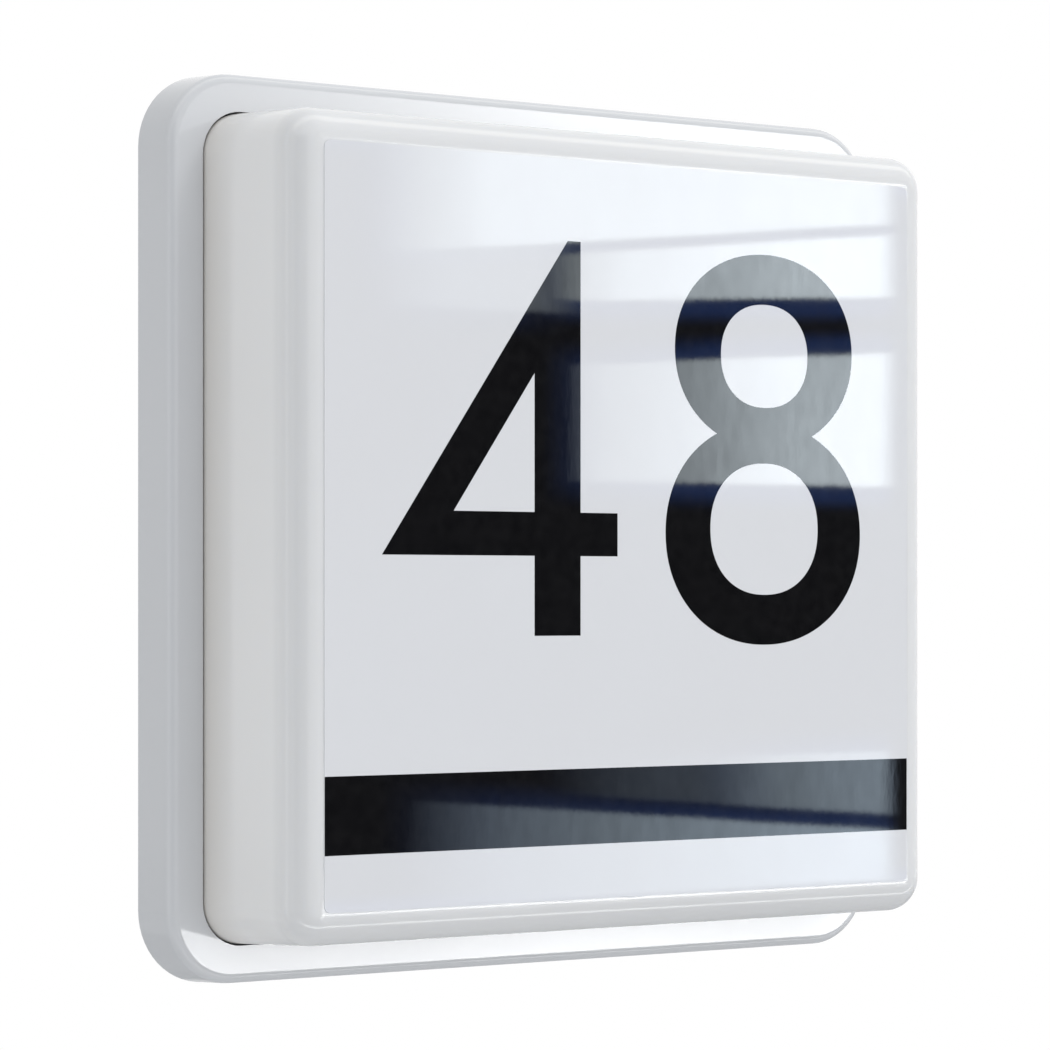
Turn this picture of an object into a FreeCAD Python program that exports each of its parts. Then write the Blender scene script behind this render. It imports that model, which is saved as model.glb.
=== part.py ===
import FreeCAD, Part
import math
import os
import re

import Sketcher
from FreeCAD import Placement, Rotation, Vector

# Square wall luminaire that shows a house number: a base tray that is screwed to the wall,
# and a deep opal cover that is pushed over clips inside the tray's groove.
# Every piece is drawn lying on its back: x to the right, y up the wall and z out of the wall,
# which is its depth. Its Placement then stands it up, so that the sign faces -Y, its top is +Z
# and the origin is the middle of the face that lies on the wall.

SIZES = [
    # base tray
    ("outerSide", 260.0, "side of the square base at the wall"),
    ("outerCorner", 21.5, "corner radius of the base at the wall"),
    ("baseDepth", 16.5, "wall to the front of the flange"),
    ("baseDraft", 3.1, "draft of the base's sides, degrees"),
    ("edgeRound", 2.8, "rounding of the flange's outer edge"),
    ("shellWall", 2.8, "outer wall and groove wall of the base"),
    ("flangeThick", 2.5, "flange"),
    ("floorThick", 2.5, "floor of the base"),
    ("grooveWidth", 6.0, "groove that takes the cover's skirt"),
    ("innerWall", 2.0, "wall between the groove and the well"),
    ("innerWallRise", 10.5, "height of that wall above the floor"),
    ("backRibThick", 1.6, "stiffening ribs under the flange"),
    ("backRibPitch", 34.0, "from one stiffening rib to the next"),
    ("backRibInset", 2.0, "how far the ribs stay off the wall"),
    # cover
    ("flangeWidth", 12.0, "side of the base to the cover's side"),
    ("coverCorner", 12.2, "corner radius of the cover at the flange"),
    ("coverRise", 44.2, "cover in front of the flange"),
    ("coverDraft", 3.0, "draft of the cover's sides, degrees"),
    ("coverRound", 9.2, "rounding of the cover's front edge"),
    ("coverWall", 2.2, "cover's wall"),
    ("coverGap", 0.55, "gap between the cover and the flange"),
    ("lugLength", 24.0, "catch on the inside of the skirt"),
    ("lugReach", 1.2, "how far a catch stands in"),
    ("lugThick", 2.0, "catch, along the depth"),
    ("lugInset", 0.8, "skirt's rim to the catch"),
    # film
    ("filmInset", 11.5, "side of the cover at the flange to the printed film"),
    ("filmCorner", 2.0, "corner radius of the film"),
    ("filmThick", 0.2, "film"),
    # seal and clips
    ("sealThick", 3.0, "seal in the groove"),
    ("sealPlay", 0.3, "seal to the groove's walls"),
    ("sealGap", 0.1, "skirt's rim to the seal"),
    ("clipSteel", 0.5, "strip that the clips are bent from"),
    ("clipWidth", 14.0, "clip along the wall"),
    ("clipPlay", 0.1, "clip to the wall that it hooks over"),
    ("clipLeg", 5.0, "clip's leg inside the well"),
    ("clipNose", 2.4, "how far the clip's nose springs out"),
    ("clipBow", 5.2, "height of the clip's sprung part"),
    # fixing slots and cable entry
    ("slotSpacing", 160.0, "fixing slots, centre to centre both ways"),
    ("slotLength", 10.0, "fixing slot, end to end"),
    ("slotWidth", 5.2, "fixing slot"),
    ("slotCollar", 2.6, "wall of the collar round a slot"),
    ("collarRise", 2.0, "height of the collars above the floor"),
    ("entryRadius", 8.0, "cable entry in the floor"),
    ("entryCollar", 5.0, "collar round the cable entry"),
    ("entryRecess", 1.2, "recess for the grommet's back lip"),
    ("grommetLip", 3.0, "how far the grommet's lips overlap the floor"),
    ("grommetFront", 1.5, "thickness of the grommet's front lip"),
    ("grommetBore", 3.6, "radius of the hole that the cable passes"),
    ("grommetFunnel", 2.6, "how much wider the funnel's mouth is"),
    ("grommetFunnelDeep", 2.4, "depth of the funnel in the front lip"),
    ("fitPlay", 0.1, "play between pieces that are pushed into each other"),
    # cable clamp
    ("clampUp", -20.0, "clamp's place, up from the centre"),
    ("clampSpan", 26.0, "between the clamp's screws"),
    ("clampWidth", 8.0, "clamp bar"),
    ("clampThick", 2.6, "clamp bar"),
    ("clampPost", 4.0, "radius of the clamp's posts"),
    ("clampPostRise", 7.0, "height of the clamp's posts above the floor"),
    ("clampHollow", 9.0, "width of the hollow over the cable"),
    ("clampHollowDeep", 0.9, "depth of that hollow"),
    # terminal block
    ("blockUp", -50.0, "terminal block's place, up from the centre"),
    ("polePitch", 10.0, "from pole to pole"),
    ("poleCount", 3.0, "poles"),
    ("blockHigh", 17.0, "terminal block along its wires"),
    ("blockBase", 10.0, "height of the terminal block's body"),
    ("towerRadius", 3.6, "screw tower"),
    ("towerRise", 4.0, "height of the screw towers on the body"),
    ("towerSpacing", 8.6, "between the two screws of a pole"),
    ("insertRadius", 2.5, "brass insert"),
    ("insertBore", 1.5, "hole in the brass insert"),
    ("insertDepth", 5.2, "insert's axis above the floor"),
    # driver
    ("driverUp", 45.0, "driver's place, up from the centre"),
    ("driverLength", 118.0, "driver case"),
    ("driverWide", 40.0, "driver case"),
    ("driverDeep", 15.4, "driver case without its lid"),
    ("driverWall", 1.6, "driver case"),
    ("driverCorner", 3.0, "corner radius of the driver case"),
    ("driverLidThick", 1.6, "driver lid"),
    ("driverLidLip", 2.0, "rim of the lid inside the case"),
    ("earLength", 11.0, "fixing ear"),
    ("earWidth", 14.0, "fixing ear"),
    ("earThick", 2.0, "fixing ear"),
    ("earRise", 4.0, "height of the posts under the ears"),
    ("boardThick", 1.6, "driver board"),
    ("boardRise", 2.4, "driver board above the case's floor"),
    ("boardPlay", 0.6, "driver board to the case's walls"),
    ("restRadius", 1.5, "rest under the driver board"),
    ("restInset", 5.0, "rests, from the case's outer sides"),
    ("coreLength", 22.0, "transformer"),
    ("coreWidth", 19.0, "transformer"),
    ("coreRise", 7.6, "transformer above the board"),
    ("coreInset", 48.0, "driver case's right end to the transformer's middle"),
    ("canRadius", 4.0, "capacitor"),
    ("canLength", 14.0, "capacitor"),
    ("canInset", 29.5, "driver case's left end to the first capacitor"),
    ("canPitch", 9.2, "from one capacitor to the next"),
    ("partsUp", 4.0, "transformer and capacitors, up from the case's middle"),
    ("leadPortWidth", 10.0, "opening for the leads in the case's ends"),
    ("leadPortUp", -11.0, "that opening, up from the case's middle"),
    ("leadPortDeep", 6.6, "depth of that opening, from the case's rim"),
    ("portLeads", 4.4, "between the two leads in a port"),
    # LED plate
    ("plateInset", 30.0, "side of the base to the LED plate"),
    ("plateCorner", 8.0, "corner radius of the LED plate"),
    ("plateDepth", 21.0, "wall to the back of the LED plate"),
    ("plateThick", 1.0, "sheet of the LED plate"),
    ("plateLip", 6.0, "turned edge of the LED plate"),
    ("postInset", 6.0, "LED plate's side to the posts under it"),
    ("postRadius", 4.0, "post"),
    ("pilotRadius", 1.2, "pilot hole in posts and bosses"),
    ("pilotDeep", 8.0, "pilot hole"),
    ("screwPlay", 0.4, "clearance round the screws' shanks"),
    ("toolHole", 8.0, "radius of the holes for reaching the wall screws"),
    ("leadHole", 4.0, "radius of the lead hole in the LED plate"),
    ("leadHoleInset", 27.0, "LED plate's side to the lead hole"),
    ("sleeveBore", 3.0, "radius of the hole in the plate's grommet"),
    ("sleeveLip", 1.2, "how far that grommet's lips overlap the plate"),
    ("sleeveLipThick", 1.0, "those lips"),
    # LED boards
    ("stripInset", 10.0, "LED plate's side to the ends of the LED boards"),
    ("stripWidth", 16.0, "LED board"),
    ("stripThick", 1.2, "LED board"),
    ("stripPitch", 40.0, "from one LED board to the next"),
    ("stripScrewInset", 4.0, "LED board's end to its screw"),
    ("ledInset", 18.0, "LED board's end to the first LED"),
    ("ledLong", 3.5, "LED"),
    ("ledWide", 2.8, "LED"),
    ("ledHigh", 0.8, "LED"),
    ("linkInset", 18.0, "LED board's end to the first link between the boards"),
    ("linkPitch", 6.0, "between the two links"),
    ("linkLift", 2.4, "how far a link bows up"),
    ("plugWidth", 9.0, "lead connector"),
    ("plugHigh", 6.0, "lead connector along the board's width"),
    ("plugRise", 6.0, "lead connector above the board"),
    ("plugSocket", 3.0, "depth of the connector's socket"),
    ("plugWall", 1.0, "connector's wall beside the socket"),
    # leads and screws
    ("mainsLead", 1.8, "diameter of the leads to the driver"),
    ("ledLead", 1.4, "diameter of the leads to the LED boards"),
    ("ledLeadGap", 2.4, "between the two LED leads in their hole"),
    ("headRadius", 2.8, "pan head of the screws"),
    ("headRise", 1.8, "pan head of the screws"),
    ("headCrown", 0.8, "domed share of the head's height"),
    ("shankRadius", 1.15, "shank of the screws"),
    ("shankLength", 7.0, "shank of the screws"),
    ("crossWidth", 0.7, "cross recess"),
    ("crossDeep", 1.0, "cross recess"),
]

STRIP_COUNT = 4
LEDS_PER_STRIP = 11
SIDES = 4
EDGE_SHARE = 0.95   # a rounding stays this share of the radius or wall that limits it
ARC_SHARE = 0.45    # an arc of a lead takes this share of the shorter run beside it

doc = FreeCAD.newDocument("HouseNumberSign")
sheet = doc.addObject("Spreadsheet::Sheet", "Sizes")
for row, (alias, number, note) in enumerate(SIZES, start=1):
    sheet.set("A%d" % row, note)
    sheet.set("B%d" % row, str(number))
    sheet.setAlias("B%d" % row, alias)
gauge = doc.addObject("App::FeaturePython", "Gauge")
gauge.addProperty("App::PropertyFloat", "reading")
doc.recompute()

ALIASES = re.compile(r"\b(%s)\b" % "|".join(alias for alias, number, note in SIZES))
STAND_UP = Rotation(Vector(1, 0, 0), 90)
NODES = []


# ---- reading and binding the sheet ----

def formula(text):
    return ALIASES.sub(r"Sizes.\1", str(text))


def bind(thing, prop, text):
    thing.setExpression(prop, formula(text))


def read(text):
    """The number that a formula of the sheet's sizes gives."""
    gauge.setExpression("reading", formula(text))
    gauge.recompute()
    return gauge.reading


# ---- naming and placing a sub-part ----

def stand(thing, name, x="0", up="0", depth="0"):
    """Names a sub-part and stands it up at x, up the wall and out of the wall."""
    thing.Label = name
    thing.Placement = Placement(Vector(0, 0, 0), STAND_UP)
    bind(thing, "Placement.Base.x", x)
    bind(thing, "Placement.Base.y", "-(%s)" % depth)
    bind(thing, "Placement.Base.z", up)
    NODES.append(thing)
    return thing


def stand_shape(name, shape):
    """A sub-part whose shape is worked out here rather than by features."""
    thing = doc.addObject("Part::Feature", name)
    thing.Shape = shape
    return stand(thing, name)


# ---- sketches ----

def new_body(name):
    return doc.addObject("PartDesign::Body", name)


def new_sketch(body, name, depth="0", plane="XY_Plane"):
    sketch = body.newObject("Sketcher::SketchObject", name)
    origin = [part for part in body.Origin.OriginFeatures if part.Role == plane][0]
    sketch.AttachmentSupport = [(origin, "")]
    sketch.MapMode = "FlatFace"
    bind(sketch, "AttachmentOffset.Base.z", depth)
    return sketch


def datum(sketch, kind, ends, text):
    """A dimension of the sketch that follows a formula."""
    index = sketch.addConstraint(Sketcher.Constraint(kind, *ends, read(text)))
    sketch.setExpression("Constraints[%d]" % index, formula(text))


def centre_point(sketch, x, y):
    """The point that an outline is centred on."""
    if str(x) == "0" and str(y) == "0":
        return -1
    point = sketch.addGeometry(Part.Point(Vector(read(x), read(y), 0)), True)
    datum(sketch, "DistanceX", (-1, 1, point, 1), x)
    datum(sketch, "DistanceY", (-1, 1, point, 1), y)
    return point


def draw_rectangle(sketch, width, height, x="0", y="0"):
    half_w, half_h = read(width) / 2, read(height) / 2
    at = Vector(read(x), read(y), 0)
    corners = [at + Vector(a * half_w, b * half_h, 0) for a, b in ((-1, -1), (1, -1), (1, 1), (-1, 1))]
    lines = [
        sketch.addGeometry(Part.LineSegment(corners[i], corners[(i + 1) % 4]), False) for i in range(4)
    ]
    for i in range(4):
        sketch.addConstraint(Sketcher.Constraint("Coincident", lines[i], 2, lines[(i + 1) % 4], 1))
    for i in (0, 2):
        sketch.addConstraint(Sketcher.Constraint("Horizontal", lines[i]))
        sketch.addConstraint(Sketcher.Constraint("Vertical", lines[i + 1]))
    datum(sketch, "DistanceX", (lines[0], 1, lines[0], 2), width)
    datum(sketch, "DistanceY", (lines[1], 1, lines[1], 2), height)
    centre = centre_point(sketch, x, y)
    sketch.addConstraint(Sketcher.Constraint("Symmetric", lines[0], 1, lines[2], 1, centre, 1))


def draw_rounded(sketch, width, height, corner, x="0", y="0"):
    """A rectangle whose corners are quarter circles."""
    radius = read(corner)
    at = Vector(read(x), read(y), 0)
    in_w, in_h = read(width) / 2 - radius, read(height) / 2 - radius
    turns = ((1, -1, -90), (1, 1, 0), (-1, 1, 90), (-1, -1, 180))
    arcs = []
    for a, b, start in turns:
        circle = Part.Circle(at + Vector(a * in_w, b * in_h, 0), Vector(0, 0, 1), radius)
        arc = Part.ArcOfCircle(circle, math.radians(start), math.radians(start + 90))
        arcs.append(sketch.addGeometry(arc, False))
    lines = []
    for i in range(4):
        first = sketch.Geometry[arcs[i]].EndPoint
        last = sketch.Geometry[arcs[(i + 1) % 4]].StartPoint
        lines.append(sketch.addGeometry(Part.LineSegment(first, last), False))
    for i in range(4):
        sketch.addConstraint(Sketcher.Constraint("Tangent", arcs[i], 2, lines[i], 1))
        sketch.addConstraint(Sketcher.Constraint("Tangent", lines[i], 2, arcs[(i + 1) % 4], 1))
    for i in (0, 2):
        sketch.addConstraint(Sketcher.Constraint("Vertical", lines[i]))
        sketch.addConstraint(Sketcher.Constraint("Horizontal", lines[i + 1]))
    for i in (1, 2, 3):
        sketch.addConstraint(Sketcher.Constraint("Equal", arcs[0], arcs[i]))
    datum(sketch, "Radius", (arcs[0],), corner)
    datum(sketch, "DistanceX", (lines[2], 1, lines[0], 1), width)
    datum(sketch, "DistanceY", (lines[3], 1, lines[1], 1), height)
    centre = centre_point(sketch, x, y)
    sketch.addConstraint(Sketcher.Constraint("Symmetric", arcs[0], 3, arcs[2], 3, centre, 1))


def draw_square(sketch, side, corner):
    draw_rounded(sketch, side, side, corner)


def draw_slot(sketch, length, width, x="0", y="0"):
    """A slot along x with round ends."""
    radius = read(width) / 2
    reach = read(length) / 2 - radius
    at = Vector(read(x), read(y), 0)
    ends = []
    for side, start in ((1, -90), (-1, 90)):
        circle = Part.Circle(at + Vector(side * reach, 0, 0), Vector(0, 0, 1), radius)
        arc = Part.ArcOfCircle(circle, math.radians(start), math.radians(start + 180))
        ends.append(sketch.addGeometry(arc, False))
    lines = []
    for i in (0, 1):
        first = sketch.Geometry[ends[i]].EndPoint
        last = sketch.Geometry[ends[1 - i]].StartPoint
        lines.append(sketch.addGeometry(Part.LineSegment(first, last), False))
    for i in (0, 1):
        sketch.addConstraint(Sketcher.Constraint("Tangent", ends[i], 2, lines[i], 1))
        sketch.addConstraint(Sketcher.Constraint("Tangent", lines[i], 2, ends[1 - i], 1))
    sketch.addConstraint(Sketcher.Constraint("Horizontal", lines[0]))
    sketch.addConstraint(Sketcher.Constraint("Equal", ends[0], ends[1]))
    datum(sketch, "Radius", (ends[0],), "(%s) / 2" % width)
    datum(sketch, "DistanceX", (ends[1], 3, ends[0], 3), "%s - %s" % (length, width))
    centre = centre_point(sketch, x, y)
    sketch.addConstraint(Sketcher.Constraint("Symmetric", ends[0], 3, ends[1], 3, centre, 1))


def draw_circle(sketch, radius, x="0", y="0"):
    round_one = Part.Circle(Vector(read(x), read(y), 0), Vector(0, 0, 1), read(radius))
    circle = sketch.addGeometry(round_one, False)
    datum(sketch, "Radius", (circle,), radius)
    if str(x) == "0" and str(y) == "0":
        sketch.addConstraint(Sketcher.Constraint("Coincident", circle, 3, -1, 1))
    else:
        datum(sketch, "DistanceX", (-1, 1, circle, 3), x)
        datum(sketch, "DistanceY", (-1, 1, circle, 3), y)


# ---- features ----

def pad(body, sketch, length, back=False, taper=None):
    feature = body.newObject("PartDesign::Pad", sketch.Name + "Pad")
    feature.Profile = sketch
    bind(feature, "Length", length)
    feature.Reversed = back
    if taper:
        bind(feature, "TaperAngle", taper)
    doc.recompute()
    return feature


def pocket(body, sketch, length=None, front=False, taper=None):
    """Cuts from the sketch towards the wall, or towards the front. No length cuts right through."""
    before = body.Shape.Volume
    feature = body.newObject("PartDesign::Pocket", sketch.Name + "Pocket")
    feature.Profile = sketch
    feature.Reversed = front
    if length is None:
        feature.Type = "ThroughAll"
    else:
        bind(feature, "Length", length)
    if taper:
        bind(feature, "TaperAngle", taper)
    doc.recompute()
    if not body.Shape.Volume < before:
        raise ValueError("%s cut nothing" % feature.Name)
    return feature


def around(body, features):
    """The features again on all four sides, turned about the middle."""
    pattern = body.newObject("PartDesign::PolarPattern", features[0].Name + "Round")
    pattern.Originals = features
    axis = [part for part in body.Origin.OriginFeatures if part.Role == "Z_Axis"][0]
    pattern.Axis = (axis, [""])
    pattern.Angle = 360
    pattern.Occurrences = SIDES
    body.Tip = pattern
    doc.recompute()
    return pattern


def round_edges(body, radius, chosen):
    """Rounds the edges of the body's last feature for which chosen(edge) is true."""
    last = body.Tip
    names = ["Edge%d" % (i + 1) for i, edge in enumerate(last.Shape.Edges) if chosen(edge)]
    feature = body.newObject("PartDesign::Fillet", last.Name + "Round")
    feature.Base = (last, names)
    bind(feature, "Radius", radius)
    doc.recompute()
    return feature


def lies_at(edge, depth, tol=1e-4):
    box = edge.BoundBox
    return abs(box.ZMin - depth) < tol and abs(box.ZMax - depth) < tol


# ---- primitives ----

def box(length, width, height, x="0", y="0", depth="0"):
    """A block centred on x and y that starts at a depth."""
    thing = doc.addObject("Part::Box", "Block")
    bind(thing, "Length", length)
    bind(thing, "Width", width)
    bind(thing, "Height", height)
    bind(thing, "Placement.Base.x", "%s - (%s) / 2" % (x, length))
    bind(thing, "Placement.Base.y", "%s - (%s) / 2" % (y, width))
    bind(thing, "Placement.Base.z", depth)
    return thing


def cylinder(radius, height, x="0", y="0", depth="0", along=None):
    """A round bar out of the wall, or along x or y, whose middle is then at x, y and depth."""
    thing = doc.addObject("Part::Cylinder", "Bar")
    bind(thing, "Radius", radius)
    bind(thing, "Height", height)
    back = {"x": "0", "y": "0", "z": "0"}
    if along == "x":
        thing.Placement = Placement(Vector(0, 0, 0), Rotation(Vector(0, 1, 0), 90))
        back["x"] = "(%s) / 2" % height
    if along == "y":
        thing.Placement = Placement(Vector(0, 0, 0), Rotation(Vector(1, 0, 0), -90))
        back["y"] = "(%s) / 2" % height
    bind(thing, "Placement.Base.x", "%s - %s" % (x, back["x"]))
    bind(thing, "Placement.Base.y", "%s - %s" % (y, back["y"]))
    bind(thing, "Placement.Base.z", depth)
    return thing


def joined(things):
    if len(things) == 1:
        return things[0]
    thing = doc.addObject("Part::MultiFuse", "Joined")
    thing.Shapes = things
    return thing


def less(body, tools):
    thing = doc.addObject("Part::Cut", "Less")
    thing.Base = body
    thing.Tool = joined(tools)
    return thing


def grouped(things):
    thing = doc.addObject("Part::Compound", "Group")
    thing.Links = things
    return thing


# ---- base tray ----

COVER_SIDE = "(outerSide - 2 * flangeWidth)"
WELL_SIDE = "(outerSide - 2 * flangeWidth + 2 * coverGap)"
WELL_CORNER = "(coverCorner + coverGap)"
INNER_SIDE = "(outerSide - 2 * flangeWidth + 2 * coverGap - 2 * grooveWidth)"
INNER_CORNER = "(coverCorner + coverGap - grooveWidth)"
PLATE_SIDE = "(outerSide - 2 * plateInset)"
PLATE_FRONT = "(plateDepth + plateThick)"
POST_REACH = "(outerSide / 2 - plateInset - postInset)"
HOLE_REACH = "(outerSide / 2 - plateInset - leadHoleInset)"
STRIP_FRONT = "(plateDepth + plateThick + stripThick)"
STRIP_END = "(outerSide / 2 - plateInset - stripInset)"


def four_ways(reach):
    """The middles of the four sides."""
    return [(reach, "0"), ("0", reach), ("-" + reach, "0"), ("0", "-" + reach)]


def four_corners(reach):
    return [(a + reach, b + reach) for a, b in (("", ""), ("-", ""), ("-", "-"), ("", "-"))]


def make_base_tray():
    body = new_body("base_tray")
    outline = new_sketch(body, "TrayOutline")
    draw_square(outline, "outerSide", "outerCorner")
    pad(body, outline, "baseDepth", taper="-baseDraft")
    front = read("baseDepth")
    round_edges(body, "edgeRound", lambda edge: lies_at(edge, front))

    well = new_sketch(body, "Well", "baseDepth")
    draw_square(well, WELL_SIDE, WELL_CORNER)
    pocket(body, well, "baseDepth - floorThick")

    hollow = new_sketch(body, "BackHollow")
    draw_square(hollow, "outerSide - 2 * shellWall", "outerCorner - shellWall")
    draw_square(hollow, WELL_SIDE + " + 2 * shellWall", WELL_CORNER + " + shellWall")
    pocket(body, hollow, "baseDepth - flangeThick", front=True)

    wall = new_sketch(body, "InnerWall", "floorThick")
    draw_square(wall, INNER_SIDE, INNER_CORNER)
    draw_square(wall, INNER_SIDE + " - 2 * innerWall", INNER_CORNER + " - innerWall")
    pad(body, wall, "innerWallRise")

    ribs = new_sketch(body, "BackRibs", "backRibInset")
    hollow_width = "(flangeWidth - coverGap - 2 * shellWall)"
    hollow_middle = "(outerSide / 2 - (flangeWidth - coverGap) / 2)"
    for step in (-2, -1, 0, 1, 2):
        draw_rectangle(ribs, hollow_width + " + shellWall / 2", "backRibThick",
                       hollow_middle, "%d * backRibPitch" % step)
    rib_pad = pad(body, ribs, "baseDepth - flangeThick / 2 - backRibInset")
    around(body, [rib_pad])

    posts = new_sketch(body, "Posts", "floorThick")
    for x, y in four_ways(POST_REACH):
        draw_circle(posts, "postRadius", x, y)
    pad(body, posts, "plateDepth - floorThick")

    ear_x = "((driverLength + earLength) / 2)"
    low = new_sketch(body, "EarPosts", "floorThick")
    for side in ("", "-"):
        draw_circle(low, "postRadius", side + ear_x, "driverUp")
    pad(body, low, "earRise")

    clamp = new_sketch(body, "ClampPosts", "floorThick")
    for side in ("", "-"):
        draw_circle(clamp, "clampPost", side + "clampSpan / 2", "clampUp")
    pad(body, clamp, "clampPostRise")

    collars = new_sketch(body, "Collars", "floorThick")
    for x, y in four_corners("slotSpacing / 2"):
        draw_slot(collars, "(slotLength + 2 * slotCollar)", "(slotWidth + 2 * slotCollar)", x, y)
    draw_circle(collars, "entryRadius + entryCollar")
    pad(body, collars, "collarRise")

    pilots = [("PlatePilots", "plateDepth", four_ways(POST_REACH)),
              ("EarPilots", "floorThick + earRise", [(ear_x, "driverUp"), ("-" + ear_x, "driverUp")]),
              ("ClampPilots", "floorThick + clampPostRise",
               [("clampSpan / 2", "clampUp"), ("-clampSpan / 2", "clampUp")])]
    for name, top, places in pilots:
        holes = new_sketch(body, name, top)
        for x, y in places:
            draw_circle(holes, "pilotRadius", x, y)
        deep = "pilotDeep" if name == "PlatePilots" else "%s - floorThick / 2" % top
        pocket(body, holes, deep)

    slots = new_sketch(body, "FixingSlots", "floorThick + collarRise")
    for x, y in four_corners("slotSpacing / 2"):
        draw_slot(slots, "slotLength", "slotWidth", x, y)
    pocket(body, slots)

    entry = new_sketch(body, "CableEntry", "floorThick + collarRise")
    draw_circle(entry, "entryRadius")
    pocket(body, entry)
    recess = new_sketch(body, "EntryRecess")
    draw_circle(recess, "entryRadius + grommetLip + fitPlay")
    pocket(body, recess, "entryRecess", front=True)
    stand(body, "base_tray")


# ---- cover, film, seal and clips ----

def drafted_block(name, rim, side, corner, rise, rounding):
    """A block with a straight skirt up to the flange, drafted sides in front of it and a rounded
    front edge. The draft takes its share of the corners' radius, and the edge stays under the rest."""
    body = new_body(name)
    skirt = new_sketch(body, name + "Skirt", rim)
    draw_square(skirt, side, corner)
    pad(body, skirt, "baseDepth - " + rim)
    foot = new_sketch(body, name + "Foot", "baseDepth")
    draw_square(foot, side, corner)
    pad(body, foot, rise, taper="-coverDraft")
    front = read("baseDepth + " + rise)
    left = "%g * (%s - %s * tan(coverDraft))" % (EDGE_SHARE, corner, rise)
    round_edges(body, "min(%s; %s)" % (rounding, left), lambda edge: lies_at(edge, front))
    return body


def make_diffuser_cover():
    """The wall is what lies between the outside and the core, as in the tool that moulds it.
    Four catches stand in from the skirt."""
    rim = "(floorThick + sealThick + sealGap)"
    outside = drafted_block("CoverOutside", rim, COVER_SIDE, "coverCorner", "coverRise", "coverRound")
    core = drafted_block("CoverCore", "floorThick", COVER_SIDE + " - 2 * coverWall",
                         "(coverCorner - coverWall)", "(coverRise - coverWall)",
                         "(coverRound - coverWall)")
    shell = less(outside, [core])
    lug_out = "(lugReach + coverWall / 2)"
    lug_middle = "(outerSide / 2 - flangeWidth - coverWall * 3 / 4 - lugReach / 2)"
    lugs = []
    for side in ("", "-"):
        lugs.append(box(lug_out, "lugLength", "lugThick", side + lug_middle, "0", rim + " + lugInset"))
        lugs.append(box("lugLength", lug_out, "lugThick", "0", side + lug_middle, rim + " + lugInset"))
    stand(joined([shell] + lugs), "diffuser_cover")


def make_face_film():
    body = new_body("face_film")
    sketch = new_sketch(body, "Film")
    draw_square(sketch, COVER_SIDE + " - 2 * filmInset", "filmCorner")
    pad(body, sketch, "filmThick")
    stand(body, "face_film", depth="baseDepth + coverRise")


def make_base_seal():
    body = new_body("base_seal")
    sketch = new_sketch(body, "SealRing")
    draw_square(sketch, WELL_SIDE + " - 2 * sealPlay", WELL_CORNER + " - sealPlay")
    draw_square(sketch, INNER_SIDE + " + 2 * sealPlay", INNER_CORNER + " + sealPlay")
    pad(body, sketch, "sealThick")
    stand(body, "base_seal", depth="floorThick")


def make_cover_clips():
    """Four bent strips: a leg in the well, a bend over the inner wall and a nose in the groove."""
    steel = read("clipSteel")
    outer_face = read(INNER_SIDE + " / 2")
    inner_face = outer_face - read("innerWall")
    top = read("floorThick + innerWallRise + clipPlay") + steel / 2
    leg = inner_face - read("clipPlay") - steel / 2
    back = outer_face + read("clipPlay") + steel / 2
    bow = read("clipBow")
    nose = back + read("clipNose") - steel / 2
    line = Part.makePolygon([
        Vector(leg, 0, top - read("clipLeg")),
        Vector(leg, 0, top),
        Vector(back, 0, top),
        Vector(nose, 0, top - bow / 2),
        Vector(back, 0, top - bow),
    ])
    section = line.makeOffset2D(steel / 2, 2, True, False, True)
    width = read("clipWidth")
    strip = section.extrude(Vector(0, width, 0))
    strip.translate(Vector(0, -width / 2, 0))
    clips = []
    for side in range(SIDES):
        clip = strip.copy()
        clip.rotate(Vector(0, 0, 0), Vector(0, 0, 1), side * 360 / SIDES)
        clips.append(clip)
    stand_shape("cover_clips", Part.makeCompound(clips))


# ---- cable entry, clamp and terminal block ----

def make_cable_grommet():
    neck = "(floorThick + collarRise - entryRecess)"
    lip = "(entryRadius + grommetLip)"
    back = cylinder(lip, "entryRecess")
    middle = cylinder("entryRadius - fitPlay", neck, depth="entryRecess")
    front = cylinder(lip, "grommetFront", depth="floorThick + collarRise")
    bore = cylinder("grommetBore", "floorThick + collarRise + grommetFront")
    mouth = doc.addObject("Part::Cone", "Funnel")
    bind(mouth, "Radius1", "grommetBore + grommetFunnel")
    bind(mouth, "Radius2", "grommetBore")
    bind(mouth, "Height", "grommetFunnelDeep")
    stand(less(joined([back, middle, front]), [bore, mouth]), "cable_grommet")


def make_cable_clamp():
    body = new_body("cable_clamp")
    sketch = new_sketch(body, "ClampBar")
    draw_rounded(sketch, "clampSpan + clampWidth", "clampWidth", "clampWidth / 2 - fitPlay")
    for side in ("", "-"):
        draw_circle(sketch, "shankRadius + screwPlay", side + "clampSpan / 2", "0")
    pad(body, sketch, "clampThick")
    hollow = new_sketch(body, "ClampHollow")
    draw_rectangle(hollow, "clampHollow", "2 * clampWidth")
    pocket(body, hollow, "clampHollowDeep", front=True)
    stand(body, "cable_clamp", up="clampUp", depth="floorThick + clampPostRise")


def pole_places():
    count = round(read("poleCount"))
    return ["%g * polePitch" % (step - (count - 1) / 2) for step in range(count)]


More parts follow.
